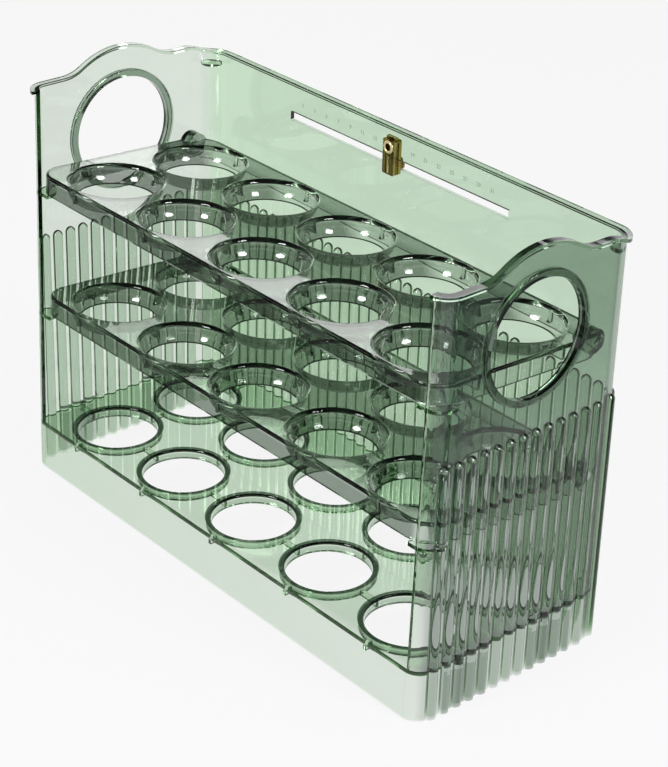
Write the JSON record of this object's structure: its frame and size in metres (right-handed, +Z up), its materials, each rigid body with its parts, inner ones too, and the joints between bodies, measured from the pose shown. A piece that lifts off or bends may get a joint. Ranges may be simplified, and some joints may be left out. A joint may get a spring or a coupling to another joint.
{
  "type": "egg storage container",
  "caption": "Clear green tiered egg holder: an open-fronted fluted case with ringed egg seats, two flip-up trays and a gold date slider in the back wall.",
  "frame": {"origin": "centre of the base, on the surface that the container stands on", "axes": "+X along the width, to the right as seen from the open front; +Y towards the back wall; +Z up"},
  "size_m": [0.2674, 0.108, 0.1937],
  "materials": {
    "clear_green": "polished, clear, tinted green",
    "gold_plate": "polished gold"
  },
  "bodies": {
    "case": {"case": "clear_green"},
    "upper_tray": {"upper_tray": "clear_green"},
    "middle_tray": {"middle_tray": "clear_green"},
    "slider": {"date_slider": "gold_plate", "slider_keeper": "gold_plate"}
  },
  "joints": [
    {"name": "upper_tray_flip", "type": "hinge", "parent": "case", "child": "upper_tray", "pos_m": [0, 0.035, 0.1406], "axis": [-1, 0, 0], "range_deg": [0, 92]},
    {"name": "middle_tray_flip", "type": "hinge", "parent": "case", "child": "middle_tray", "pos_m": [0, 0.035, 0.0814], "axis": [-1, 0, 0], "range_deg": [0, 33]},
    {"name": "date_slide", "type": "slide", "parent": "case", "child": "slider", "axis": [1, 0, 0], "range_m": [-0.066, 0.0645]}
  ]
}
